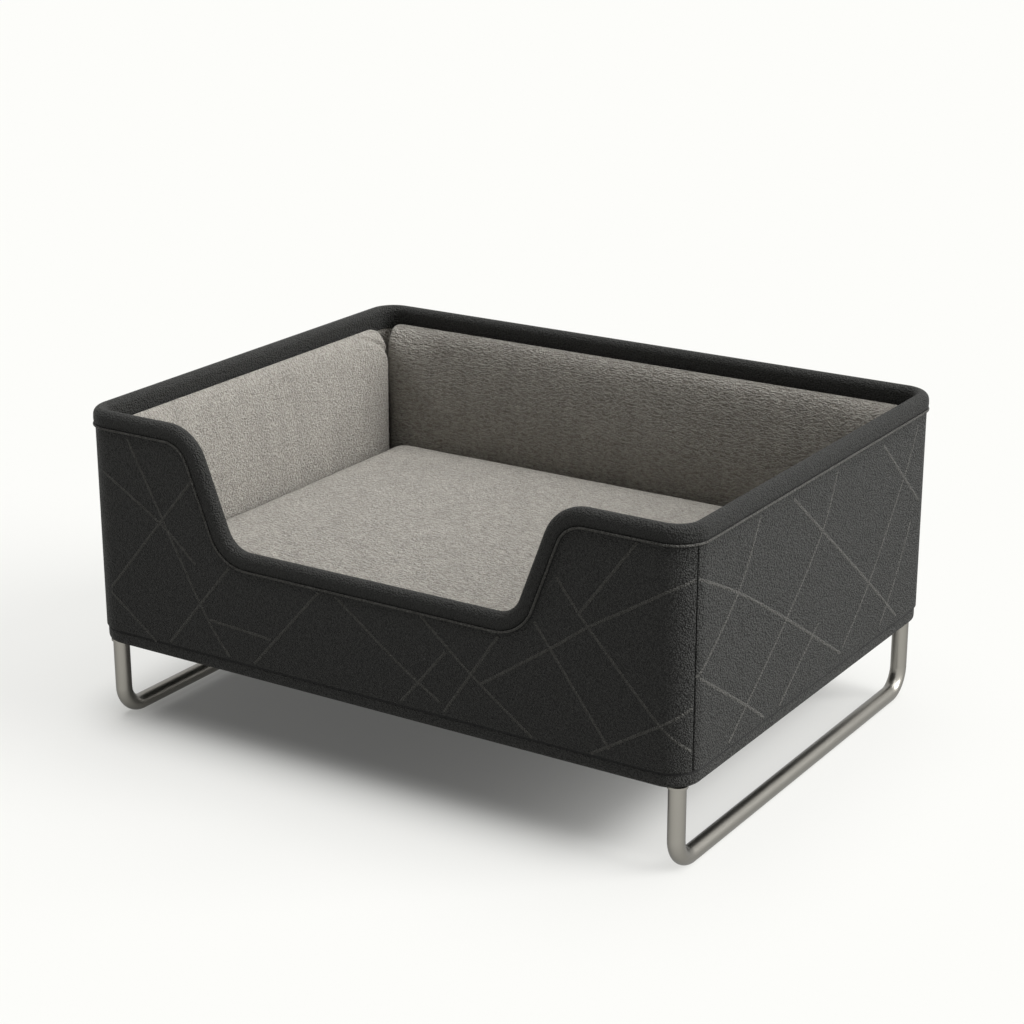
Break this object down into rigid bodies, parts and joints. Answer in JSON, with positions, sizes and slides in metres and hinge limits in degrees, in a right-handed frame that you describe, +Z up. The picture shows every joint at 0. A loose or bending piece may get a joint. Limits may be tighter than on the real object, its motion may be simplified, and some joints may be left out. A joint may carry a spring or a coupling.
{
  "type": "dog bed",
  "caption": "Upholstered box dog bed with a cut-down front entrance, bolsters and a lift-out seat cushion, raised on bent-tube sled legs.",
  "frame": {"origin": "on the floor under the middle of the box", "axes": "+X along the front to the right, +Y to the back, +Z up"},
  "size_m": [0.9064, 0.6864, 0.4381],
  "materials": {
    "leatherette": "matt pebble-grain leatherette with thin lighter lines",
    "woven_fabric": "crinkled warm grey weave",
    "stainless_steel": "satin brushed tube",
    "plywood": "raw birch plywood",
    "beech": "fluted dowel, raw",
    "hardboard": "raw hardboard",
    "foam": "open-cell foam",
    "zinc_steel": "zinc plated",
    "non_woven": "black non-woven sheet",
    "hook_and_loop": "black hook-and-loop tape"
  },
  "bodies": {
    "frame": {"back_binding": "leatherette", "back_cover": "leatherette", "back_left_leg_plate": "stainless_steel", "back_left_post": "plywood", "back_lining": "leatherette", "back_panel": "plywood", "back_right_leg_plate": "stainless_steel", "back_right_post": "plywood", "back_rim_foam": "foam", "base_board": "plywood", "base_screws": "zinc_steel", "base_wrap": "leatherette", "corner_dowels": "beech", "dust_cover": "non_woven", "front_binding": "leatherette", "front_cover": "leatherette", "front_left_leg_plate": "stainless_steel", "front_left_post": "plywood", "front_lining": "leatherette", "front_panel": "plywood", "front_right_leg_plate": "stainless_steel", "front_right_post": "plywood", "front_rim_foam": "foam", "left_binding": "leatherette", "left_cover": "leatherette", "left_leg": "stainless_steel", "left_lining": "leatherette", "left_panel": "plywood", "left_rim_foam": "foam", "leg_screws": "zinc_steel", "loop_strips": "hook_and_loop", "right_binding": "leatherette", "right_cover": "leatherette", "right_leg": "stainless_steel", "right_lining": "leatherette", "right_panel": "plywood", "right_rim_foam": "foam", "rim_piping": "leatherette", "tee_nuts": "zinc_steel"},
    "cushion": {"cushion_base": "woven_fabric", "cushion_cover": "woven_fabric", "cushion_foam": "foam"},
    "back_bolster": {"back_bolster_board": "hardboard", "back_bolster_cover": "woven_fabric", "back_bolster_foam": "foam", "back_hook_strip": "hook_and_loop"},
    "left_bolster": {"left_bolster_board": "hardboard", "left_bolster_cover": "woven_fabric", "left_bolster_foam": "foam", "left_hook_strip": "hook_and_loop"},
    "right_bolster": {"right_bolster_board": "hardboard", "right_bolster_cover": "woven_fabric", "right_bolster_foam": "foam", "right_hook_strip": "hook_and_loop"}
  },
  "joints": [
    {"name": "cushion_lift", "type": "slide", "parent": "frame", "child": "cushion", "axis": [0, 0, 1], "range_m": [0, 0.32]},
    {"name": "back_bolster_lift", "type": "slide", "parent": "frame", "child": "back_bolster", "axis": [0, 0, 1], "range_m": [0, 0.32]},
    {"name": "left_bolster_lift", "type": "slide", "parent": "frame", "child": "left_bolster", "axis": [0, 0, 1], "range_m": [0, 0.32]},
    {"name": "right_bolster_lift", "type": "slide", "parent": "frame", "child": "right_bolster", "axis": [0, 0, 1], "range_m": [0, 0.32]}
  ]
}
